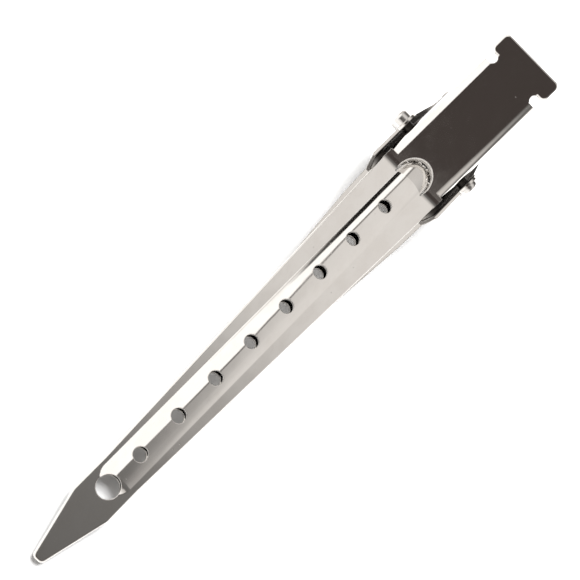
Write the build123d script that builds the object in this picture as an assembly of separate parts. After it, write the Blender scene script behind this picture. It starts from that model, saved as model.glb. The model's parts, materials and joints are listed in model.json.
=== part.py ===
from build123d import *
import math
import os

# Duckbill hair clip: two long stamped steel jaws that a coil spring holds shut round a pin.
# Millimetres. While it is modelled, X runs along the closed jaws from the pointed tip to the
# handles, Y across them, and the pin's axis is Y through the origin, with the jaws meeting at
# Z = 0. Each half is made as the upper one, and the lower one is then turned over. The finished
# clip is tilted to lie as it rests, on its lower tip and the end of its lower handle.

# Sheet metal
SHEET = 0.5
JAW_GAP = 0.1
EDGE_ROUND = 0.25

# Jaw, with stations measured from the tip
JAW_LENGTH = 66.3
TIP_WIDTH = 1.4
TIP_CORNER = 0.62
SHOULDER_AT = 8.4
SHOULDER_WIDTH = 5.6
SHOULDER_ROUND = 2.5
PARALLEL_TO = 13.5
ROOT_WIDTH = 9.6

# Raised rib and its holes
RIB_START_AT = 12.9
RIB_HALF_WIDTH = 2.05
RIB_HEIGHT = 0.7
RIB_FOOT_ROUND = 0.25
BIG_HOLE_AT = 11.3
BIG_HOLE_DIAMETER = 2.9
FIRST_HOLE_AT = 16.5
HOLE_PITCH = 6.4
HOLE_COUNT = 8
HOLE_DIAMETER = 1.85

# Tongue at the rib's end and the arch round it in the handle's foot
TONGUE_REACH = 3.1
TONGUE_MARGIN = 0.15
TONGUE_DROOP = 7.0
LANCE_GAP = 0.2

# Bend and handle, with stations measured along the handle from the end of the bend
BEND_ANGLE = 26.5
BEND_INSIDE_RADIUS = 2.5
HANDLE_LENGTH = 21.55
HANDLE_WIDTH = 9.6
ROLL_RADIUS = 1.25
FLANGE_DEPTH = 2.6
FLANGE_START = 0.1
FLANGE_FRONT = 1.3
LIP_LENGTH = 3.0
LIP_WIDTH = 9.8
LIP_CORNER = 0.8
LIP_NOTCH = 1.3
NOTCH_BITE = 0.3

# Ears and pin
PIN_BEHIND_BEND = 6.1
PIN_DIAMETER = 1.6
PIN_RUNNING_GAP = 0.05
PIN_SEAT_GAP = 0.01
HEAD_DIAMETER = 2.9
FAR_HEAD_HEIGHT = 1.4
NEAR_HEAD_HEIGHT = 0.8
HEAD_ROUND = 0.55
HEAD_GAP = 0.02
INNER_EAR_RADIUS = 1.8
OUTER_EAR_RADIUS = 1.9
EAR_SIDE_GAP = 0.7

# Side walls of the lower half, with stations measured from the bend towards the tip
WALL_START = 20.0
WALL_CLEARS_JAW = 7.0
WALL_SPREADS = 2.6
WALL_STRAIGHT = 0.6
WALL_RISE_START = 2.6
WALL_RISE_END = 0.9
WALL_SIDE_GAP = 0.1
WALL_ROLL_RADIUS = 0.8
TAPER_LENGTH = 8.0

# Coil spring round the pin
WIRE = 0.7
COIL_MEAN_RADIUS = 1.7
COIL_TURNS = 5
TURN_OVERLAP = 0.04
ARM_LENGTH = 9.0
ARM_OFFSET = 0.05

# Cutting bodies reach this far past what they cut, points this close count as one, and an edge
# is tested at these shares of its length
PAST = 12.0
NEAR = 0.01
EDGE_SHARES = (0, 0.3, 1)

# Worked out from the sizes above
SLOPE = math.radians(BEND_ANGLE)
BEND_X = -PIN_BEHIND_BEND
TIP_X = BEND_X - JAW_LENGTH
PLATE_LOW = JAW_GAP / 2
PLATE_TOP = PLATE_LOW + SHEET
BEND_CENTRE_Z = PLATE_TOP + BEND_INSIDE_RADIUS
BEND_OUTSIDE_RADIUS = BEND_INSIDE_RADIUS + SHEET
RIB_START_X = TIP_X + RIB_START_AT
RIB_RADIUS = (RIB_HALF_WIDTH**2 + RIB_HEIGHT**2) / (2 * RIB_HEIGHT)
RIB_AXIS_Z = PLATE_TOP + RIB_HEIGHT - RIB_RADIUS
TONGUE_RADIUS = RIB_HALF_WIDTH + TONGUE_MARGIN
TONGUE_CENTRE_X = BEND_X + TONGUE_REACH - TONGUE_RADIUS
ARCH_RADIUS = TONGUE_RADIUS + LANCE_GAP
FLANGE_END = HANDLE_LENGTH - LIP_LENGTH - LIP_NOTCH
FLANGE_EDGE = SHEET - FLANGE_DEPTH
EAR_WIDTH = HANDLE_WIDTH + 2 * (EAR_SIDE_GAP + SHEET)

# The upper handle's own frame: its origin is on the inner face where the bend ends, X runs
# along the handle and Z out of its outer face
HANDLE_PLANE = Plane(
    origin=(
        BEND_X + BEND_OUTSIDE_RADIUS * math.sin(SLOPE),
        0,
        BEND_CENTRE_Z - BEND_OUTSIDE_RADIUS * math.cos(SLOPE),
    ),
    x_dir=(math.cos(SLOPE), 0, math.sin(SLOPE)),
    z_dir=(-math.sin(SLOPE), 0, math.cos(SLOPE)),
)
PIN_IN_HANDLE = HANDLE_PLANE.to_local_coords(Vector(0, 0, 0))


def jaw_half_width(x):
    """Half the width of the jaw plate at x, between its parallel stretch and the bend."""
    share = (x - TIP_X - PARALLEL_TO) / (JAW_LENGTH - PARALLEL_TO)
    return (SHOULDER_WIDTH + share * (ROOT_WIDTH - SHOULDER_WIDTH)) / 2


def both_sides(stations):
    """Closed outline from (x, half width) stations, symmetric about the X axis."""
    far_side = [(x, half) for x, half in stations]
    near_side = [(x, -half) for x, half in reversed(stations)]
    return Polyline(*far_side, *near_side, close=True)


def slab(stations, low, top):
    """Upright block over a symmetric outline."""
    face = make_face(both_sides(stations))
    return Pos(0, 0, low) * extrude(face, top - low)


def long_edges_at(solid, height):
    """Edges at one height that run along the part, not across it."""
    level = solid.edges().filter_by(lambda e: abs(e.center().Z - height) < NEAR)
    return level.filter_by(lambda e: abs((e @ 1 - e @ 0).Y) < abs((e @ 1 - e @ 0).X))


def channel(stations, depth, roll):
    """Plate with both sides rolled down into walls, its outer face at the sheet's thickness."""
    outer = slab(stations, -depth, SHEET)
    outer = fillet(long_edges_at(outer, SHEET), roll)
    narrower = [(x, half - SHEET) for x, half in stations]
    first, last = narrower[0], narrower[-1]
    narrower = [(first[0] - PAST, first[1])] + narrower + [(last[0] + PAST, last[1])]
    inner = slab(narrower, -depth - PAST, 0)
    inner = fillet(long_edges_at(inner, 0), roll - SHEET)
    return outer - inner


def side_block(points):
    """Block over an outline seen from the side, wide enough to take the whole clip."""
    face = make_face(Polyline(*points, close=True))
    return Plane.XZ * extrude(face, PAST, both=True)


def jaw_plate(end_x):
    """Pointed flat plate from the tip to end_x, its outer edges softened."""
    outline = both_sides(
        [
            (TIP_X, TIP_WIDTH / 2),
            (TIP_X + SHOULDER_AT, SHOULDER_WIDTH / 2),
            (TIP_X + PARALLEL_TO, SHOULDER_WIDTH / 2),
            (end_x, jaw_half_width(end_x)),
        ]
    )
    face = make_face(outline)
    corners = face.vertices()
    face = fillet(corners.filter_by(lambda v: abs(v.X - TIP_X) < NEAR), TIP_CORNER)
    shoulders = face.vertices().filter_by(lambda v: abs(v.X - TIP_X - SHOULDER_AT) < NEAR)
    face = fillet(shoulders, SHOULDER_ROUND)
    plate = Pos(0, 0, PLATE_LOW) * extrude(face, SHEET)
    rim = plate.edges().filter_by(lambda e: abs(e.center().Z - PLATE_TOP) < NEAR)
    rim = rim.filter_by(lambda e: e.center().X < end_x - NEAR)
    return fillet(rim, EDGE_ROUND)


def rib_bar(radius):
    """Round bar with a ball at each end, along the rib and past the bend line."""
    length = TONGUE_CENTRE_X - RIB_START_X
    middle = (TONGUE_CENTRE_X + RIB_START_X) / 2
    bar = Pos(middle, 0, RIB_AXIS_Z) * Rot(0, 90, 0) * Cylinder(radius, length)
    for x in (RIB_START_X, TONGUE_CENTRE_X):
        bar += Pos(x, 0, RIB_AXIS_Z) * Sphere(radius)
    return bar


def drooped_bar(radius):
    """The same bar turned down at the bend line."""
    return Pos(BEND_X, 0, RIB_AXIS_Z) * Rot(0, 90 + TONGUE_DROOP, 0) * Cylinder(radius, 2 * PAST)


def past_bend_line():
    """Block past the slanting plane in which the straight and the drooped bar meet."""
    mitre = Pos(BEND_X, 0, RIB_AXIS_Z) * Rot(0, TONGUE_DROOP / 2, 0)
    return mitre * Pos(PAST, 0, 0) * Box(2 * PAST, 2 * PAST, 2 * PAST)


def round_ended(start_x, radius, low, top):
    """Upright block from start_x to the tongue's end, which it follows with a round end."""
    run = TONGUE_CENTRE_X - start_x
    level = (low + top) / 2
    block = Pos(start_x + run / 2, 0, level) * Box(run, 2 * radius, top - low)
    return block + Pos(TONGUE_CENTRE_X, 0, level) * Cylinder(radius, top - low)


def rib_strip_plan(low, top):
    """Upright block under the whole rib, round at both ends."""
    start = Pos(RIB_START_X, 0, (low + top) / 2) * Cylinder(TONGUE_RADIUS, top - low)
    return round_ended(RIB_START_X, TONGUE_RADIUS, low, top) + start


def on_rib_foot(edge):
    """Whether an edge lies all along where the rib meets the plate."""
    for share in EDGE_SHARES:
        point = edge @ share
        beyond = max(RIB_START_X - point.X, point.X - TONGUE_CENTRE_X, 0)
        away = math.hypot(beyond, point.Y)
        if abs(point.Z - PLATE_TOP) > NEAR or abs(away - RIB_HALF_WIDTH) > NEAR:
            return False
    return True


def rib_strip():
    """Strip of sheet with the rib raised from it, hollow beneath."""
    flat = rib_strip_plan(PLATE_LOW, PLATE_TOP)
    room = rib_strip_plan(PLATE_LOW, PLATE_TOP + RIB_HEIGHT)
    beyond = past_bend_line()
    strip = flat + (rib_bar(RIB_RADIUS) & room)
    strip = fillet(strip.edges().filter_by(on_rib_foot), RIB_FOOT_ROUND) - beyond
    strip += (flat + (drooped_bar(RIB_RADIUS) & room)) & beyond
    strip -= rib_bar(RIB_RADIUS - SHEET) - beyond
    strip -= drooped_bar(RIB_RADIUS - SHEET) & beyond
    return strip


def with_rib(plate):
    """The plate with the ribbed strip let into it, and the holes through both."""
    jaw = plate - rib_strip_plan(PLATE_LOW - SHEET, PLATE_TOP + SHEET) + rib_strip()
    jaw -= Pos(TIP_X + BIG_HOLE_AT, 0, 0) * Cylinder(BIG_HOLE_DIAMETER / 2, PAST)
    for number in range(HOLE_COUNT):
        x = TIP_X + FIRST_HOLE_AT + number * HOLE_PITCH
        jaw -= Pos(x, 0, 0) * Cylinder(HOLE_DIAMETER / 2, PAST)
    return jaw


def bend(section):
    """A section at the bend line, carried round the bend."""
    axis = Axis((BEND_X, 0, BEND_CENTRE_Z), (0, -1, 0))
    return revolve(section, axis, BEND_ANGLE)


def end_lip():
    """Flat wider end of the handle, and its neck to the rolled part with a round notch each side."""
    start = HANDLE_LENGTH - LIP_LENGTH
    lip = slab([(start, LIP_WIDTH / 2), (HANDLE_LENGTH, LIP_WIDTH / 2)], 0, SHEET)
    lip = fillet(lip.edges().filter_by(Axis.Z), LIP_CORNER)
    lip = fillet(lip.faces().sort_by(Axis.Z)[-1].edges(), EDGE_ROUND)
    flat_half = HANDLE_WIDTH / 2 - ROLL_RADIUS
    neck = slab([(FLANGE_END - SHEET, flat_half), (start + LIP_LENGTH / 2, flat_half)], 0, SHEET)
    notch = LIP_NOTCH / 2
    for side in (-1, 1):
        level = side * (flat_half + notch - NOTCH_BITE)
        neck -= Pos(start - notch, level, 0) * Cylinder(notch, PAST)
    return lip + neck


def inner_ear_trim():
    """Side form of the upper handle's walls, in the handle's frame: a flange with round ears."""
    pin_x, pin_z = PIN_IN_HANDLE.X, PIN_IN_HANDLE.Z
    trim = side_block(
        [
            (FLANGE_START, PAST),
            (FLANGE_END, PAST),
            (FLANGE_END, FLANGE_EDGE),
            (pin_x, FLANGE_EDGE),
            (pin_x - INNER_EAR_RADIUS, pin_z),
            (FLANGE_START, SHEET - FLANGE_FRONT),
        ]
    )
    ear = Pos(pin_x, 0, pin_z) * Rot(90, 0, 0) * Cylinder(INNER_EAR_RADIUS, 2 * PAST)
    return trim + ear


def upper_half():
    """The upper half: plain bend, and a handle whose walls end in the inner ears."""
    half = HANDLE_WIDTH / 2
    section = Pos(BEND_X, 0, PLATE_LOW + SHEET / 2) * Rot(0, 90, 0) * Rectangle(SHEET, HANDLE_WIDTH)
    depth = INNER_EAR_RADIUS - PIN_IN_HANDLE.Z
    rolled = channel([(FLANGE_START, half), (FLANGE_END, half)], depth, ROLL_RADIUS)
    rolled = rolled & inner_ear_trim()
    foot = slab([(0, half), (FLANGE_START + SHEET, half)], 0, SHEET)
    handle = HANDLE_PLANE.location * (rolled + foot + end_lip())
    handle += bend(section)
    handle -= round_ended(BEND_X, ARCH_RADIUS, -PAST, PAST)
    bore = Rot(90, 0, 0) * Cylinder(PIN_DIAMETER / 2 + PIN_RUNNING_GAP, 2 * PAST)
    return with_rib(jaw_plate(BEND_X)) + handle - bore


def wall_trim():
    """Side form of the lower half's walls: a rising edge, round ears and the handle's flange."""
    pin_x, pin_z = PIN_IN_HANDLE.X, PIN_IN_HANDLE.Z
    past_other_jaw = -PLATE_TOP - EDGE_ROUND
    jaw_side = side_block(
        [
            (BEND_X - WALL_START - PAST, PAST),
            (BEND_X - WALL_START - PAST, PLATE_LOW),
            (BEND_X - WALL_RISE_START, PLATE_LOW),
            (BEND_X - WALL_RISE_END, past_other_jaw),
            (0, past_other_jaw),
            (0, PAST),
        ]
    )
    handle_side = side_block(
        [
            (0, PAST),
            (FLANGE_END, PAST),
            (FLANGE_END, FLANGE_EDGE),
            (pin_x, FLANGE_EDGE),
            (pin_x, pin_z),
            (0, PLATE_LOW),
        ]
    )
    ear = Rot(90, 0, 0) * Cylinder(OUTER_EAR_RADIUS, 2 * PAST)
    return jaw_side + HANDLE_PLANE.location * handle_side + ear


def lower_half():
    """The lower half, still the same way up: walls outside the other jaw, ending in outer ears."""
    ear_half = EAR_WIDTH / 2
    start_x = BEND_X - WALL_START
    clear_x = BEND_X - WALL_CLEARS_JAW
    spread_x = BEND_X - WALL_SPREADS
    beside_jaw = WALL_SIDE_GAP + SHEET
    depth = PLATE_LOW + OUTER_EAR_RADIUS + SHEET
    jaw_stations = [
        (start_x, jaw_half_width(start_x)),
        (clear_x, jaw_half_width(clear_x) + beside_jaw),
        (spread_x, jaw_half_width(spread_x) + beside_jaw),
        (BEND_X - WALL_STRAIGHT, ear_half),
        (BEND_X, ear_half),
    ]
    jaw_walls = Pos(0, 0, PLATE_LOW) * channel(jaw_stations, depth, WALL_ROLL_RADIUS)
    section_bar = channel([(-SHEET, ear_half), (0, ear_half)], depth, WALL_ROLL_RADIUS)
    section = section_bar.faces().sort_by(Axis.X)[-1]
    section = Pos(BEND_X, 0, PLATE_LOW) * section
    back_x = PIN_IN_HANDLE.X + OUTER_EAR_RADIUS
    handle_half = HANDLE_WIDTH / 2
    handle_stations = [
        (0, ear_half),
        (back_x, ear_half),
        (back_x + TAPER_LENGTH, handle_half),
        (FLANGE_END, handle_half),
    ]
    handle = channel(handle_stations, OUTER_EAR_RADIUS - PIN_IN_HANDLE.Z, WALL_ROLL_RADIUS)
    walls = jaw_walls + bend(section) + HANDLE_PLANE.location * handle
    walls = walls & wall_trim()
    walls -= round_ended(BEND_X, ARCH_RADIUS, -PAST, PAST)
    bore = Rot(90, 0, 0) * Cylinder(PIN_DIAMETER / 2 + PIN_SEAT_GAP, 2 * PAST)
    return with_rib(jaw_plate(start_x) + walls) + HANDLE_PLANE.location * end_lip() - bore


def pin_head(seat, height):
    """Rounded head that sits on the far ear's outer face."""
    head = Rot(90, 0, 0) * Cylinder(HEAD_DIAMETER / 2, height)
    head = fillet(head.edges().sort_by(Axis.Y)[-1], HEAD_ROUND)
    return Pos(0, seat + height / 2, 0) * head


def pivot_pin():
    """Rivet across the ears, formed high on the far side and hammered flatter on the near one."""
    seat = EAR_WIDTH / 2 + HEAD_GAP
    pin = Rot(90, 0, 0) * Cylinder(PIN_DIAMETER / 2, 2 * seat)
    return pin + pin_head(seat, FAR_HEAD_HEIGHT) + mirror(pin_head(seat, NEAR_HEAD_HEIGHT), Plane.XZ)


def spring():
    """Close coil round the pin with one straight arm along each handle's inner face."""
    pitch = WIRE - TURN_OVERLAP
    end_y = (COIL_TURNS - 1) / 2 * pitch
    ring = Rot(90, 0, 0) * Torus(COIL_MEAN_RADIUS, WIRE / 2)
    coil = Pos(0, -end_y, 0) * ring
    for turn in range(1, COIL_TURNS):
        coil += Pos(0, turn * pitch - end_y, 0) * ring
    for side in (-1, 1):
        level = side * (COIL_MEAN_RADIUS + ARM_OFFSET)
        arm = Pos(0, side * end_y, level) * Rot(0, 90, 0) * Cylinder(WIRE / 2, ARM_LENGTH)
        coil += (Pos(ARM_LENGTH / 2, 0, 0) * arm).rotate(Axis.Y, -side * BEND_ANGLE)
    return coil


def rest_tilt():
    """Angle in degrees that brings the lower tip and the lower handle's end to one level."""
    end = HANDLE_PLANE.from_local_coords(Vector(HANDLE_LENGTH, 0, SHEET))
    return math.degrees(math.atan2(end.Z - PLATE_TOP, end.X - TIP_X))


def main():
    """Make the four pieces, lay the clip as it rests and write one file for each piece."""
    nodes = {
        "upper_jaw": upper_half(),
        "lower_jaw": mirror(lower_half(), about=Plane.XY),
        "pivot_pin": pivot_pin(),
        "spring": spring(),
    }
    tilt = rest_tilt()
    nodes = {name: solid.rotate(Axis.Y, -tilt) for name, solid in nodes.items()}
    box = Compound(children=[Compound(solid.solids()) for solid in nodes.values()]).bounding_box()
    middle = box.center()
    settle = Pos(-middle.X, -middle.Y, -box.min.Z)
    os.makedirs("parts", exist_ok=True)
    for name, solid in nodes.items():
        export_step(settle * solid, f"parts/{name}.step")
    pin = settle * Pos(0, 0, 0)
    print("pin axis", pin.position, "tilt", round(tilt, 3), "box", box.size)


main()
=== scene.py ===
"""Duckbill hair clip: two plated sheet steel jaws, a headed pin and the coil spring round it.

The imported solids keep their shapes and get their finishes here. The spring is made again as a
true coil. Everything is in metres, with X along the clip, Y across it and Z up.
"""

import json
import math

import bpy
import numpy as np
from mathutils import Matrix, Vector


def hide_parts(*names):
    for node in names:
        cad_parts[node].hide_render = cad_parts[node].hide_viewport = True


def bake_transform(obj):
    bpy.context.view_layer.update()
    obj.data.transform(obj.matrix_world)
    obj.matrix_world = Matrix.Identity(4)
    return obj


MM = 0.001
MICRON = 0.000001
NEVER_ZERO = 0.000001

# Spring, wound round the pin with one arm along each handle
WIRE_RADIUS = 0.35 * MM
COIL_RADIUS = 1.7 * MM
COIL_HALF_WIDTH = 1.56 * MM
WHOLE_TURNS = 4
ARM_LENGTH = 9.0 * MM
HANDLE_SLOPE = math.radians(26.5)
STEPS_PER_TURN = 48
STEPS_PER_ARM = 6
STEPS_AROUND_WIRE = 16
STEPS_PER_ROUND_END = 4

# Bright plate over the steel: colour, roughness, and how far its sharp edges look rounded
UPPER_PLATE_COLOUR = (0.80, 0.78, 0.755, 1)
LOWER_PLATE_COLOUR = (0.79, 0.77, 0.745, 1)
SHEET_ROUGHNESS = 0.042
SHEET_EDGE = 0.15 * MM
PIN_COLOUR = (0.74, 0.725, 0.71, 1)
PIN_ROUGHNESS = 0.10
PIN_EDGE = 0.10 * MM
WIRE_COLOUR = (0.56, 0.545, 0.53, 1)
WIRE_ROUGHNESS = 0.20
WIRE_EDGE = 0.02 * MM
EDGE_SAMPLES = 6

# How fine a noise is: how many octaves it adds, and how strong each next one is
SMOOTHEST = {"detail": 0.0}
SMOOTH = {"detail": 1.0}
STREAKY = {"detail": 3.0, "roughness": 0.6}
CLOUDY = {"detail": 5.0, "roughness": 0.62}

# Hair scratches in three directions, each with its turn in degrees and its shift
SCRATCH_SETS = ((24, 11 * MM), (-37, 23 * MM), (71, 37 * MM))
SCRATCH_SIZE = (3.5 * MM, 0.055 * MM, 3.0 * MM)
SCRATCH_SHOWS = (0.74, 0.84)
SCRATCHED_PATCH_SIZE = (3.0 * MM, 3.0 * MM, 3.0 * MM)
SCRATCHED_PATCH_SHOWS = (0.50, 0.66)

# Pits, one in a share of the cells of a given size, with radii counted in cells
FINE_PIT_CELL = (0.9 * MM, 0.9 * MM, 0.9 * MM)
FINE_PIT_RADIUS = 0.10
FINE_PIT_SHARE = 0.16
WIDE_PIT_CELL = (4.1 * MM, 4.1 * MM, 4.1 * MM)
WIDE_PIT_TURN = 31
WIDE_PIT_RADIUS = 0.055
WIDE_PIT_SHARE = 0.22

SMUDGE_SIZE = (3.4 * MM, 2.2 * MM, 2.8 * MM)
SMUDGE_TURN = 12
SMUDGE_SHOWS = (0.40, 0.66)
WAVE_SIZE = (3.2 * MM, 2.4 * MM, 2.4 * MM)
WAVE_TURN = -8

# How well the rounded normal and the face's own agree where an edge begins to look worn, and
# where it is wholly worn
WORN_FROM = 0.995
WORN_WHOLLY = 0.93

# Streaks that rolling leaves along the sheet, and how much the fine ones count
FINE_STREAK_SIZE = (5.0 * MM, 0.10 * MM, 1.5 * MM)
BROAD_STREAK_SIZE = (14.0 * MM, 0.45 * MM, 5.0 * MM)
FINE_STREAK_SHARE = 0.6

# Rings on the turned pin: their width, and how far along the pin they stay the same
RING_WIDTH = 0.06 * MM
RING_RUN = 0.30 * MM

# Die lines and oxide bands on the wire, in turns round it, millimetres along it and depth
DIE_LINE_SIZE = (0.03, 4.0, 1.0)
OXIDE_BAND_SIZE = (3.0, 2.5, 1.0)
OXIDE_BAND_SHOWS = (0.45, 0.65)

# Painted shade round the pin: the narrow gaps between the ears of the two halves are coloured near black
SHADE_GAP_REACH = (9.0 * MM, 6.0 * MM)
SHADE_GAP_SIDES = (4.70 * MM, 4.78 * MM, 5.60 * MM, 5.70 * MM)

# Slit cut round the tongue in the handle's foot. Places along the jaw count from the pin
SLIT_MIDDLE = -5.2 * MM
SLIT_RADIUS = 2.32 * MM
SLIT_REACH = (0.28 * MM, 0.18 * MM)
SLIT_START = (-5.6 * MM, -5.4 * MM)

# What each mark does to the surface where it shows
SMUDGED = {"colour": (0.63, 0.585, 0.54, 1), "strength": 0.16, "dullness": 0.035}
PITTED = {"colour": (0.30, 0.27, 0.25, 1), "strength": 0.65, "dullness": 0.25, "height": -7 * MICRON}
WORN = {"colour": (0.62, 0.58, 0.53, 1), "strength": 0.35, "dullness": 0.28}
SCRATCHED = {"dullness": 0.06, "height": -0.25 * MICRON}
WAVY = {"height": 9 * MICRON}
ROLLED = {"dullness": 0.03, "height": 0.7 * MICRON}
DIE_CUT = {"dullness": 0.5}
# Painted shade in the gaps between the ears: near-black colour, and duller
PAINTED_GAP_SHADE = {"colour": (0.035, 0.030, 0.026, 1), "strength": 0.97, "dullness": 0.35}
TURNED = {"dullness": 0.10, "height": 1.6 * MICRON}
OXIDISED = {"colour": (0.40, 0.37, 0.33, 1), "strength": 0.45}
WIRE_PITTED = {"colour": (0.20, 0.17, 0.15, 1), "strength": 0.5}
WIRE_SMUDGED = {"dullness": 0.12}
DRAWN = {"dullness": 0.12, "height": 1.5 * MICRON}

# Camera, as the photograph sees the clip
VIEW_CENTRE = Vector((0.0001, 0.0008, 0.006))
VIEW_DISTANCE = 0.145
VIEW_AZIMUTH = math.radians(176.05)
VIEW_ELEVATION = math.radians(64.1)
VIEW_ROLL = math.radians(48.9)
VIEW_LENS = 71.9
SENSOR_WIDTH = 36
NEAREST_SEEN = 0.01

# The room as the clip mirrors it. Directions are degrees from straight up, first towards +X
# (along) and then towards +Y (across). Level 1 is white in the picture.
HALF_SKY = 90
CEILING_STOPS = (
    (-90, 0.30), (-12, 0.15), (-4, 0.165), (1, 0.19), (4, 0.37), (7, 0.47), (10, 0.66),
    (13, 0.78), (16, 0.83), (26, 0.88), (40, 0.60), (50, 0.25), (65, 0.06), (90, 0.05),
)
CEILING_WARMTH = 0.035
SHADE_PLACE = (-27, -2)
SHADE_FADE = (25, 10)
SHADE_COLOUR = (0.064, 0.053, 0.049, 1)
BEHIND_PLACE = (-27, -20)
BEHIND_SLANT = (-0.949, -0.316)
BEHIND_FADE = (-2, 5.5)
BEHIND_COLOUR = (0.74, 0.71, 0.68, 1)
BEYOND_FADE = (6, 22)
BEYOND_COLOUR = (1.32, 1.30, 1.27, 1)
WINDOW_EDGE = 8
WINDOW_SLANT_FROM = 9
WINDOW_SLANT = 2.2
WINDOW_SLANT_MOST = 19
WINDOW_SOFTNESS = 1.5
WINDOW_COLOUR = (1.36, 1.34, 1.31, 1)
SILL_BELOW_EDGE = 4.0
SILL_FADE = (4.0, 2.0)
SILL_FROM = (2, 8)
SILL_DEPTH = 0.8
SILL_COLOUR = (0.13, 0.12, 0.115, 1)
WALL_ABOVE = 68
WALL_FADE = (-5, 3)
WALL_FROM = (8, 16)
WALL_COLOUR = (0.70, 0.66, 0.62, 1)
SPOT_PLACE = (25.5, 52)
SPOT_HALVES = (7.5, 6.5)
SPOT_FADE = (1.0, 0.7)
SPOT_COLOUR = (0.015, 0.013, 0.012, 1)

# Soft lamp past the handles, which lights the table but isn't mirrored. The table is mid grey, so
# that it is white under the lamp and grey where the holes show it in the clip's shade
LAMP_SIZE = 0.5
LAMP_DISTANCE = 0.7
LAMP_ELEVATION = math.radians(62)
LAMP_POWER = 22.0
TABLE_HALF = 1.5
TABLE_COLOUR = (0.42, 0.42, 0.42, 1)
TABLE_ROUGHNESS = 0.6

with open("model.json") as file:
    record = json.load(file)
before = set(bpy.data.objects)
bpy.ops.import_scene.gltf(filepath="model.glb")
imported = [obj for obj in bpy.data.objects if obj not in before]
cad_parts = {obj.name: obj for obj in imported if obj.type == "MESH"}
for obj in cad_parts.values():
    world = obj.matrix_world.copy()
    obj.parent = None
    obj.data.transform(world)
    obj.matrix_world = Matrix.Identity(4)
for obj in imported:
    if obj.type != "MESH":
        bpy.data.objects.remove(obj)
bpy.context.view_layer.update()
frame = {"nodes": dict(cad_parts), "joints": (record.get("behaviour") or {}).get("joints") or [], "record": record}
scene = bpy.context.scene
PIN = Vector(frame["joints"][0]["pos_m"])
MOUNTS = frame["record"]["mounts"]
GRIP_AXIS = next(mount["axis"] for mount in MOUNTS if mount["name"] == "jaw_grip")
TILT = math.atan2(-GRIP_AXIS[2], -GRIP_AXIS[0])


class Wiring:
    """Places nodes in one node tree and joins them."""

    def __init__(self, tree):
        self.tree = tree

    def node(self, kind, **settings):
        """A new node of one kind, with its settings."""
        node = self.tree.nodes.new(kind)
        for name, value in settings.items():
            setattr(node, name, value)
        return node

    def feed(self, socket, value):
        """Joins an output to a socket, or sets the socket's own value."""
        if isinstance(value, bpy.types.NodeSocket):
            self.tree.links.new(value, socket)
        else:
            socket.default_value = value

    def math(self, operation, *values):
        """Output of a Math node fed with numbers or outputs."""
        node = self.node("ShaderNodeMath", operation=operation)
        for socket, value in zip(node.inputs, values):
            self.feed(socket, value)
        return node.outputs[0]

    def vector_math(self, operation, first, second):
        """A Vector Math node fed with two vectors or outputs."""
        node = self.node("ShaderNodeVectorMath", operation=operation)
        self.feed(node.inputs[0], first)
        self.feed(node.inputs[1], second)
        return node

    def parts(self, vector):
        """The three parts of a vector or colour."""
        node = self.node("ShaderNodeSeparateXYZ")
        self.feed(node.inputs[0], vector)
        return node.outputs

    def less(self, first, second):
        """First number minus the second."""
        return self.math("SUBTRACT", first, second)

    def total(self, first, *others):
        """Sum of numbers or outputs."""
        for other in others:
            first = self.math("ADD", first, other)
        return first

    def times(self, first, second):
        """Product of two numbers or outputs."""
        return self.math("MULTIPLY", first, second)

    def length(self, first, second):
        """Length of a line that goes so far one way and so far square to it."""
        squares = self.total(self.times(first, first), self.times(second, second))
        return self.math("SQRT", squares)

    def ease(self, value, start, end):
        """Goes smoothly from 0 at start to 1 at end, and stays there."""
        node = self.node("ShaderNodeMapRange", interpolation_type="SMOOTHSTEP")
        for name, setting in zip(("Value", "From Min", "From Max"), (value, start, end)):
            self.feed(node.inputs[name], setting)
        return node.outputs["Result"]

    def mix(self, share, first, second):
        """First colour at share 0, second at share 1."""
        node = self.node("ShaderNodeMix", data_type="RGBA")
        colours = [socket for socket in node.inputs if socket.type == "RGBA"]
        self.feed(node.inputs["Factor"], share)
        self.feed(colours[0], first)
        self.feed(colours[1], second)
        return next(socket for socket in node.outputs if socket.type == "RGBA")

    def ramp(self, value, stops):
        """Colours along a value, from a table of place and colour."""
        node = self.node("ShaderNodeValToRGB")
        elements = node.color_ramp.elements
        while len(elements) < len(stops):
            elements.new(0.5)
        for element, (place, colour) in zip(elements, stops):
            element.position = place
            element.color = colour
        self.feed(node.inputs["Fac"], value)
        return node.outputs["Color"]

    def sized(self, place, sizes, turn=0.0, shift=(0, 0, 0)):
        """A place counted in grains of the given sizes, after a turn about Z in degrees."""
        node = self.node("ShaderNodeMapping", vector_type="TEXTURE")
        self.feed(node.inputs["Vector"], place)
        node.inputs["Location"].default_value = shift
        node.inputs["Rotation"].default_value = (0, 0, math.radians(turn))
        node.inputs["Scale"].default_value = sizes
        return node.outputs[0]

    def noise(self, place, detail=2.0, roughness=0.5):
        """Cloudy values from about 0.2 to 0.8, one cloud for each unit of the place."""
        node = self.node("ShaderNodeTexNoise")
        self.feed(node.inputs["Vector"], place)
        node.inputs["Scale"].default_value = 1.0
        node.inputs["Detail"].default_value = detail
        node.inputs["Roughness"].default_value = roughness
        return node.outputs[0]

    def dots(self, place, radius, share):
        """Round dots scattered over part of the cells of the place, 1 at their middle."""
        node = self.node("ShaderNodeTexVoronoi", feature="F1")
        self.feed(node.inputs["Vector"], place)
        node.inputs["Scale"].default_value = 1.0
        chance = self.parts(node.outputs["Color"])[0]
        chosen = self.math("LESS_THAN", chance, share)
        return self.times(self.ease(node.outputs["Distance"], radius, 0), chosen)


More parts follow.
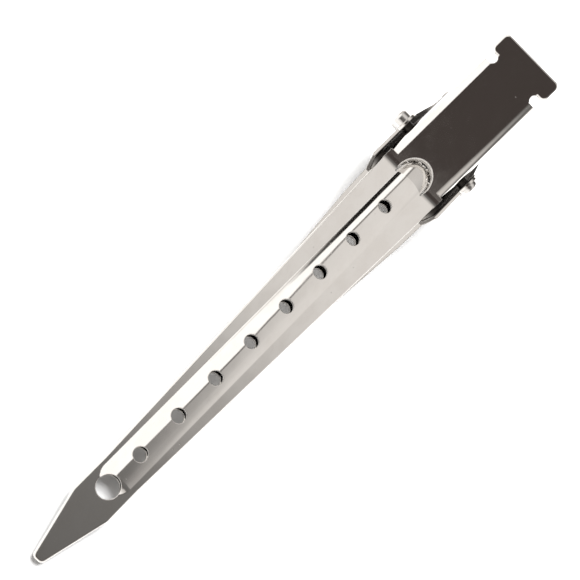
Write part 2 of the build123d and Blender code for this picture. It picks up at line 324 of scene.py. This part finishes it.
class Effect:
    """A shader node group that turns one given vector into masks from 0 to 1."""

    def __init__(self, name, given, *masks):
        self.tree = bpy.data.node_groups.new(name, "ShaderNodeTree")
        self.wiring = Wiring(self.tree)
        self.tree.interface.new_socket(given, in_out="INPUT", socket_type="NodeSocketVector")
        for mask in masks:
            self.tree.interface.new_socket(mask, in_out="OUTPUT", socket_type="NodeSocketFloat")
        self.given = self.wiring.node("NodeGroupInput").outputs[given]
        self.result = self.wiring.node("NodeGroupOutput")

    def give(self, mask, output):
        """Joins a worked out value to the mask of that name."""
        self.wiring.feed(self.result.inputs[mask], output)


def hair_scratches(wiring, place):
    """Short straight scratches in three directions, in patches."""
    scratches = 0
    for turn, shift in SCRATCH_SETS:
        hair = wiring.sized(place, SCRATCH_SIZE, turn, (shift, 0, 0))
        patch = wiring.sized(place, SCRATCHED_PATCH_SIZE, turn, (0, shift, 0))
        line = wiring.ease(wiring.noise(hair, **SMOOTHEST), *SCRATCH_SHOWS)
        patch = wiring.ease(wiring.noise(patch, **SMOOTH), *SCRATCHED_PATCH_SHOWS)
        scratches = wiring.math("MAXIMUM", scratches, wiring.times(line, patch))
    return scratches


def handling_marks():
    """What making and use leave on metal: scratches, pits, smudges and gentle waves."""
    effect = Effect("handling_marks", "Place", "Scratches", "Pits", "Smudges", "Waves")
    wiring = effect.wiring
    place = effect.given
    fine = wiring.dots(wiring.sized(place, FINE_PIT_CELL), FINE_PIT_RADIUS, FINE_PIT_SHARE)
    wide_cells = wiring.sized(place, WIDE_PIT_CELL, WIDE_PIT_TURN)
    wide = wiring.dots(wide_cells, WIDE_PIT_RADIUS, WIDE_PIT_SHARE)
    smudges = wiring.noise(wiring.sized(place, SMUDGE_SIZE, SMUDGE_TURN), **CLOUDY)
    effect.give("Scratches", hair_scratches(wiring, place))
    effect.give("Pits", wiring.math("MAXIMUM", fine, wide))
    effect.give("Smudges", wiring.ease(smudges, *SMUDGE_SHOWS))
    effect.give("Waves", wiring.noise(wiring.sized(place, WAVE_SIZE, WAVE_TURN), **SMOOTH))
    return effect.tree


def worn_edges():
    """Sharp edges, found where the rounded normal leaves the face's own."""
    effect = Effect("worn_edges", "Rounded", "Worn")
    own = effect.wiring.node("ShaderNodeNewGeometry").outputs["Normal"]
    agreement = effect.wiring.vector_math("DOT_PRODUCT", effect.given, own).outputs["Value"]
    effect.give("Worn", effect.wiring.ease(agreement, WORN_FROM, WORN_WHOLLY))
    return effect.tree


def rolled_grain():
    """The long fine streaks that rolling leaves along the sheet."""
    effect = Effect("rolled_grain", "Place", "Grain")
    wiring = effect.wiring
    fine = wiring.noise(wiring.sized(effect.given, FINE_STREAK_SIZE), **STREAKY)
    broad = wiring.noise(wiring.sized(effect.given, BROAD_STREAK_SIZE))
    fine_part = wiring.times(fine, FINE_STREAK_SHARE)
    effect.give("Grain", wiring.total(fine_part, wiring.times(broad, 1 - FINE_STREAK_SHARE)))
    return effect.tree


def from_pin(wiring, place):
    """The three coordinates of a place, counted from the middle of the pin."""
    return wiring.parts(wiring.vector_math("SUBTRACT", place, PIN).outputs["Vector"])


def around_pin(wiring, place):
    """Distance from the pin's axis, and distance to either side of the clip's middle."""
    x, y, z = from_pin(wiring, place)
    return wiring.length(x, z), wiring.math("ABSOLUTE", y)


def pin_gap_shade():
    """The narrow gaps round the pin between the ears, where shade is painted in."""
    effect = Effect("pin_gap_shade", "Place", "PaintedShade")
    wiring = effect.wiring
    away, aside = around_pin(wiring, effect.given)
    inner_start, inner_end, outer_start, outer_end = SHADE_GAP_SIDES
    past_inner = wiring.ease(aside, inner_start, inner_end)
    before_outer = wiring.ease(aside, outer_end, outer_start)
    between = wiring.times(past_inner, before_outer)
    effect.give("PaintedShade", wiring.times(wiring.ease(away, *SHADE_GAP_REACH), between))
    return effect.tree


def die_cut_slit():
    """Both walls of the slit that the die cut round the tongue.

    Seen along the jaw's own upright, the slit is a circle of the slit's radius round its middle.
    """
    effect = Effect("die_cut_slit", "Place", "Slit")
    wiring = effect.wiring
    x, y, z = from_pin(wiring, effect.given)
    ahead = wiring.total(wiring.times(x, math.cos(TILT)), wiring.times(z, math.sin(TILT)))
    away = wiring.length(wiring.less(ahead, SLIT_MIDDLE), y)
    off_circle = wiring.math("ABSOLUTE", wiring.less(away, SLIT_RADIUS))
    near = wiring.ease(off_circle, *SLIT_REACH)
    effect.give("Slit", wiring.times(near, wiring.ease(ahead, *SLIT_START)))
    return effect.tree


class Finish:
    """One metal finish: its shader, and the marks that are added to it one by one."""

    def __init__(self, name, colour, roughness, edge_radius):
        self.material = bpy.data.materials.new(name)
        self.material.use_nodes = True
        self.wiring = Wiring(self.material.node_tree)
        self.shader = self.material.node_tree.nodes["Principled BSDF"]
        self.shader.inputs["Metallic"].default_value = 1
        self.place = self.wiring.node("ShaderNodeTexCoord").outputs["Object"]
        self.colour = colour
        self.roughness = roughness
        self.height = 0.0
        rounded = self.wiring.node("ShaderNodeBevel", samples=EDGE_SAMPLES)
        rounded.inputs["Radius"].default_value = edge_radius
        self.normal = rounded.outputs["Normal"]

    def masks(self, tree):
        """The masks of an effect, fed with the place on the object or the rounded normal."""
        node = self.wiring.node("ShaderNodeGroup", node_tree=tree)
        offered = {"Place": self.place, "Rounded": self.normal}
        for socket in node.inputs:
            self.wiring.feed(socket, offered[socket.name])
        return node.outputs

    def add(self, mask, colour=None, strength=0.0, dullness=0.0, height=0.0):
        """Adds colour, roughness and height in metres, in the measure that the mask is high."""
        wiring = self.wiring
        if colour:
            self.colour = wiring.mix(wiring.times(mask, strength), self.colour, colour)
        if dullness:
            self.roughness = wiring.total(self.roughness, wiring.times(mask, dullness))
        if height:
            self.height = wiring.total(self.height, wiring.times(mask, height))

    def made(self):
        """The material, with all that was added joined to its shader."""
        relief = self.wiring.node("ShaderNodeBump")
        relief.inputs["Distance"].default_value = 1.0
        self.wiring.feed(relief.inputs["Height"], self.height)
        self.wiring.feed(relief.inputs["Normal"], self.normal)
        self.wiring.feed(self.shader.inputs["Normal"], relief.outputs["Normal"])
        self.wiring.feed(self.shader.inputs["Base Color"], self.colour)
        self.wiring.feed(self.shader.inputs["Roughness"], self.roughness)
        return self.material


def wear_plate(finish, effects):
    """Adds to a finish what making and use leave on all the plated pieces."""
    found = finish.masks(effects["marks"])
    finish.add(found["Smudges"], **SMUDGED)
    finish.add(found["Pits"], **PITTED)
    finish.add(found["Scratches"], **SCRATCHED)
    finish.add(found["Waves"], **WAVY)
    finish.add(finish.masks(effects["edges"])["Worn"], **WORN)


def sheet_finish(name, colour, effects):
    """Bright plate over rolled sheet, dull in the slit and with painted shade between the ears."""
    finish = Finish(name, colour, SHEET_ROUGHNESS, SHEET_EDGE)
    wear_plate(finish, effects)
    finish.add(finish.masks(effects["grain"])["Grain"], **ROLLED)
    finish.add(finish.masks(effects["slit"])["Slit"], **DIE_CUT)
    # Painted shade: near black in the narrow gaps between the ears
    finish.add(finish.masks(effects["shade_in_gaps"])["PaintedShade"], **PAINTED_GAP_SHADE)
    return finish.made()


def pin_finish(effects):
    """Headed rivet, with the fine rings that turning left round its axis."""
    finish = Finish("headed_pin_plate", PIN_COLOUR, PIN_ROUGHNESS, PIN_EDGE)
    wear_plate(finish, effects)
    wiring = finish.wiring
    away, aside = around_pin(wiring, finish.place)
    ring_place = wiring.node("ShaderNodeCombineXYZ")
    wiring.feed(ring_place.inputs[0], wiring.times(away, 1 / RING_WIDTH))
    wiring.feed(ring_place.inputs[1], wiring.times(aside, 1 / RING_RUN))
    finish.add(wiring.noise(ring_place.outputs[0], **STREAKY), **TURNED)
    # Painted shade: near black where the pin sits in the gaps between the ears
    finish.add(finish.masks(effects["shade_in_gaps"])["PaintedShade"], **PAINTED_GAP_SHADE)
    return finish.made()


def wire_finish(effects):
    """Drawn spring wire, darker than the plate, with die lines along it and thin oxide bands."""
    finish = Finish("drawn_spring_wire", WIRE_COLOUR, WIRE_ROUGHNESS, WIRE_EDGE)
    wiring = finish.wiring
    found = finish.masks(effects["marks"])
    along_wire = wiring.node("ShaderNodeTexCoord").outputs["UV"]
    bands = wiring.noise(wiring.sized(along_wire, OXIDE_BAND_SIZE))
    finish.add(wiring.ease(bands, *OXIDE_BAND_SHOWS), **OXIDISED)
    finish.add(found["Pits"], **WIRE_PITTED)
    finish.add(found["Smudges"], **WIRE_SMUDGED)
    finish.add(wiring.noise(wiring.sized(along_wire, DIE_LINE_SIZE), **STREAKY), **DRAWN)
    return finish.made()


def wire_path():
    """Centre line of the spring's wire and the distance along it.

    From the lower arm's tip a straight line meets the coil at a tangent. There the angle a falls
    evenly through four turns and the stretch between the arms, with x = R cos a and z = R sin a,
    while y rises evenly. The upper arm leaves at a tangent too.
    """
    first = 2 * math.pi - (math.pi / 2 + HANDLE_SLOPE)
    last = math.pi / 2 + HANDLE_SLOPE - 2 * math.pi * WHOLE_TURNS
    steps = round(STEPS_PER_TURN * (first - last) / (2 * math.pi))
    angle = np.linspace(first, last, steps + 1)
    across = np.linspace(-COIL_HALF_WIDTH, COIL_HALF_WIDTH, steps + 1)
    coil = np.stack([COIL_RADIUS * np.cos(angle), across, COIL_RADIUS * np.sin(angle)], axis=1)
    reach = np.linspace(0, ARM_LENGTH, STEPS_PER_ARM + 1)[1:, None]
    outward = np.array([math.cos(HANDLE_SLOPE), 0, math.sin(HANDLE_SLOPE)])
    lower_arm = coil[0] + reach[::-1] * outward * (1, 1, -1)
    upper_arm = coil[-1] + reach * outward
    path = np.concatenate([lower_arm, coil, upper_arm])
    gone = np.concatenate([[0], np.cumsum(np.linalg.norm(np.diff(path, axis=0), axis=1))])
    return path, gone


def round_ended_rings(path, gone):
    """Centres, forward directions, radii and distances of the rings that the wire is made of.

    Past each end of the path the rings shrink as r cos b while they go on by r sin b, which makes
    the end a half ball.
    """
    forward = np.gradient(path, axis=0)
    forward /= np.linalg.norm(forward, axis=1, keepdims=True)
    bow = np.linspace(0, math.pi / 2, STEPS_PER_ROUND_END + 2)[1:-1]
    on = WIRE_RADIUS * np.sin(bow)[:, None]
    small = WIRE_RADIUS * np.cos(bow)
    each = np.ones((len(bow), 1))
    centres = np.concatenate([path[0] - on[::-1] * forward[0], path, path[-1] + on * forward[-1]])
    ways = np.concatenate([each * forward[0], forward, each * forward[-1]])
    radii = np.concatenate([small[::-1], np.full(len(path), WIRE_RADIUS), small])
    run = np.concatenate([gone[0] - on[::-1, 0], gone, gone[-1] + on[:, 0]])
    return centres, ways, radii, run


def wire_skin(centres, ways, radii):
    """Points of the rings: centre + r (outward cos s + sideways sin s) for s all the way round."""
    outward = np.cross(ways, (0, 1, 0))
    outward /= np.linalg.norm(outward, axis=1, keepdims=True)
    sideways = np.cross(outward, ways)
    spin = np.linspace(0, 2 * math.pi, STEPS_AROUND_WIRE, endpoint=False)[None, :, None]
    skin = np.cos(spin) * outward[:, None] + np.sin(spin) * sideways[:, None]
    return centres[:, None] + radii[:, None, None] * skin


def tube_faces(rings):
    """Corner numbers and texture places of the faces of a tube with a pole point at each end.

    A texture place is the share of a turn round the tube, and the number of the ring.
    """
    ring, step = np.meshgrid(np.arange(rings - 1), np.arange(STEPS_AROUND_WIRE), indexing="ij")
    after = (step + 1) % STEPS_AROUND_WIRE
    here = ring * STEPS_AROUND_WIRE
    there = here + STEPS_AROUND_WIRE
    quads = np.stack([here + step, there + step, there + after, here + after], axis=-1)
    around = np.stack([step, step, step + 1, step + 1], axis=-1) / STEPS_AROUND_WIRE
    row = np.stack([ring, ring + 1, ring + 1, ring], axis=-1)
    spin = np.arange(STEPS_AROUND_WIRE)
    next_spin = (spin + 1) % STEPS_AROUND_WIRE
    last_ring = (rings - 1) * STEPS_AROUND_WIRE
    start_pole = np.full_like(spin, rings * STEPS_AROUND_WIRE)
    start_fan = np.stack([spin, next_spin, start_pole], axis=-1)
    end_fan = np.stack([last_ring + next_spin, last_ring + spin, start_pole + 1], axis=-1)
    fan_around = np.stack([spin, spin + 1, spin], axis=-1) / STEPS_AROUND_WIRE
    faces = quads.reshape(-1, 4).tolist() + start_fan.tolist() + end_fan.tolist()
    share = np.concatenate([around.ravel(), fan_around.ravel(), fan_around.ravel()])
    start_rows = np.zeros(start_fan.size, dtype=int)
    rows = np.concatenate([row.ravel(), start_rows, start_rows + rings - 1])
    return faces, share, rows


def laid(points):
    """Places round the pin, turned as the clip lies and moved to the pin."""
    x, y, z = points.T
    turned_x = x * math.cos(TILT) - z * math.sin(TILT)
    turned_z = x * math.sin(TILT) + z * math.cos(TILT)
    return np.stack([turned_x, y, turned_z], axis=1) + np.array(PIN)


def wound_mesh():
    """The coil spring as one closed tube with round ends, and texture places along the wire."""
    path, gone = wire_path()
    centres, ways, radii, run = round_ended_rings(path, gone)
    poles = path[[0, -1]] + WIRE_RADIUS * ways[[0, -1]] * [[-1], [1]]
    points = np.concatenate([wire_skin(centres, ways, radii).reshape(-1, 3), poles])
    faces, share, rows = tube_faces(len(centres))
    mesh = bpy.data.meshes.new("coil_spring")
    mesh.from_pydata(laid(points).tolist(), [], faces)
    layer = mesh.uv_layers.new(name="along_wire")
    places = np.stack([share, run[rows] / MM], axis=1)
    layer.data.foreach_set("uv", places.ravel())
    mesh.shade_smooth()
    return mesh


def wind_spring(material):
    """The coil spring in place of its plain solid, twisted between the two halves."""
    mesh = wound_mesh()
    mesh.materials.append(material)
    spring = bpy.data.objects.new("coil_spring", mesh)
    scene.collection.objects.link(spring)
    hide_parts("spring")
    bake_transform(spring)


def direction_of(azimuth, elevation):
    """Unit vector at an azimuth from +X towards +Y and an elevation above the floor."""
    flat = math.cos(elevation)
    return Vector((flat * math.cos(azimuth), flat * math.sin(azimuth), math.sin(elevation)))


def place_camera():
    """Camera at the photograph's angle to the clip, rolled so that the clip lies across it."""
    data = bpy.data.cameras.new("view")
    camera = bpy.data.objects.new("view", data)
    scene.collection.objects.link(camera)
    away = direction_of(VIEW_AZIMUTH, VIEW_ELEVATION)
    right = (-away).cross(Vector((0, 0, 1))).normalized()
    up = right.cross(-away)
    turned_right = math.cos(VIEW_ROLL) * right + math.sin(VIEW_ROLL) * up
    turned_up = math.cos(VIEW_ROLL) * up - math.sin(VIEW_ROLL) * right
    axes = Matrix((turned_right, turned_up, away)).transposed()
    camera.matrix_world = Matrix.Translation(VIEW_CENTRE + VIEW_DISTANCE * away) @ axes.to_4x4()
    data.lens = VIEW_LENS
    data.sensor_width = SENSOR_WIDTH
    data.clip_start = NEAREST_SEEN
    scene.camera = camera


def lay_table():
    """Plain table top under the clip."""
    half = TABLE_HALF
    mesh = bpy.data.meshes.new("table")
    corners = [(-half, -half, 0), (half, -half, 0), (half, half, 0), (-half, half, 0)]
    mesh.from_pydata(corners, [], [(0, 1, 2, 3)])
    table = bpy.data.objects.new("table", mesh)
    scene.collection.objects.link(table)
    material = bpy.data.materials.new("white_table")
    material.use_nodes = True
    shader = material.node_tree.nodes["Principled BSDF"]
    shader.inputs["Base Color"].default_value = TABLE_COLOUR
    shader.inputs["Roughness"].default_value = TABLE_ROUGHNESS
    mesh.materials.append(material)


def warm_grey(level):
    """Colour of one brightness, a little warmer than neutral."""
    return (level * (1 + CEILING_WARMTH), level, level * (1 - CEILING_WARMTH), 1)


def sky_directions(wiring):
    """Degrees from straight up, towards +X and towards +Y."""
    x, y, z = wiring.parts(wiring.node("ShaderNodeTexCoord").outputs["Generated"])
    flat_square = wiring.total(wiring.times(x, x), wiring.times(y, y), NEVER_ZERO)
    from_zenith = wiring.math("DEGREES", wiring.math("ARCCOSINE", z))
    scale = wiring.math("DIVIDE", from_zenith, wiring.math("SQRT", flat_square))
    return wiring.times(x, scale), wiring.times(y, scale)


def distance_from(wiring, along, across, place, halves=(1, 1)):
    """How far a direction is from a place in the sky, counted in the given half sizes."""
    first = wiring.math("DIVIDE", wiring.less(along, place[0]), halves[0])
    second = wiring.math("DIVIDE", wiring.less(across, place[1]), halves[1])
    return wiring.length(first, second)


def plain_ceiling(wiring, along):
    """Ceiling that is dark towards the tip and pale towards the handles."""
    share = wiring.math("MULTIPLY_ADD", along, 0.5 / HALF_SKY, 0.5)
    stops = [(0.5 + 0.5 * degrees / HALF_SKY, warm_grey(level)) for degrees, level in CEILING_STOPS]
    return wiring.ramp(share, stops)


def with_shade(wiring, sky, along, across):
    """Adds the dark part of the room round the camera, and the paler room past it."""
    away = distance_from(wiring, along, across, SHADE_PLACE)
    sky = wiring.mix(wiring.ease(away, *SHADE_FADE), sky, SHADE_COLOUR)
    first = wiring.times(wiring.less(along, BEHIND_PLACE[0]), BEHIND_SLANT[0])
    second = wiring.times(wiring.less(across, BEHIND_PLACE[1]), BEHIND_SLANT[1])
    behind = wiring.total(first, second)
    sky = wiring.mix(wiring.ease(behind, *BEHIND_FADE), sky, BEHIND_COLOUR)
    return wiring.mix(wiring.ease(behind, *BEYOND_FADE), sky, BEYOND_COLOUR)


def with_window(wiring, sky, along, across):
    """Adds the big soft light on the far side, the dark sill under it and the wall above.

    The window's lower edge lies level up to the slant and then rises steadily. A dark spot in
    front of it is mirrored in the rib's foot.
    """
    past_corner = wiring.math("MAXIMUM", wiring.less(along, WINDOW_SLANT_FROM), 0)
    rise = wiring.math("MINIMUM", wiring.times(past_corner, WINDOW_SLANT), WINDOW_SLANT_MOST)
    edge = wiring.less(wiring.less(across, WINDOW_EDGE), rise)
    off_sill = wiring.math("ABSOLUTE", wiring.total(edge, SILL_BELOW_EDGE))
    sill = wiring.times(wiring.ease(off_sill, *SILL_FADE), wiring.ease(along, *SILL_FROM))
    sky = wiring.mix(wiring.times(sill, SILL_DEPTH), sky, SILL_COLOUR)
    inside = wiring.ease(edge, -WINDOW_SOFTNESS, WINDOW_SOFTNESS)
    sky = wiring.mix(inside, sky, WINDOW_COLOUR)
    above = wiring.total(across, -WALL_ABOVE, past_corner)
    wall = wiring.times(wiring.ease(above, *WALL_FADE), wiring.ease(along, *WALL_FROM))
    sky = wiring.mix(wall, sky, WALL_COLOUR)
    spot = distance_from(wiring, along, across, SPOT_PLACE, SPOT_HALVES)
    return wiring.mix(wiring.ease(spot, *SPOT_FADE), sky, SPOT_COLOUR)


def light_room():
    """The room round the table, as the bright metal mirrors it."""
    world = bpy.data.worlds.new("studio")
    scene.world = world
    world.use_nodes = True
    wiring = Wiring(world.node_tree)
    along, across = sky_directions(wiring)
    sky = plain_ceiling(wiring, along)
    sky = with_shade(wiring, sky, along, across)
    sky = with_window(wiring, sky, along, across)
    wiring.feed(world.node_tree.nodes["Background"].inputs["Color"], sky)


def hang_lamp():
    """Broad soft lamp that leaves the table dark where the holes show it."""
    lamp = bpy.data.lights.new("overhead", "AREA")
    lamp.shape = "DISK"
    lamp.size = LAMP_SIZE
    lamp.energy = LAMP_POWER
    body = bpy.data.objects.new("overhead", lamp)
    scene.collection.objects.link(body)
    towards = direction_of(0.0, LAMP_ELEVATION)
    body.location = LAMP_DISTANCE * towards
    body.rotation_euler = towards.to_track_quat("Z", "Y").to_euler()
    body.visible_glossy = False


def dress(name, material):
    """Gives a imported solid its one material."""
    mesh = frame["nodes"][name].data
    mesh.materials.clear()
    mesh.materials.append(material)


scene.view_settings.view_transform = "Standard"
place_camera()
lay_table()
light_room()
hang_lamp()

effects = {
    "marks": handling_marks(),
    "edges": worn_edges(),
    "grain": rolled_grain(),
    "slit": die_cut_slit(),
    # mask for the painted shade in the gaps between the ears
    "shade_in_gaps": pin_gap_shade(),
}
dress("upper_jaw", sheet_finish("upper_sheet_plate", UPPER_PLATE_COLOUR, effects))
dress("lower_jaw", sheet_finish("lower_sheet_plate", LOWER_PLATE_COLOUR, effects))
dress("pivot_pin", pin_finish(effects))
wind_spring(wire_finish(effects))
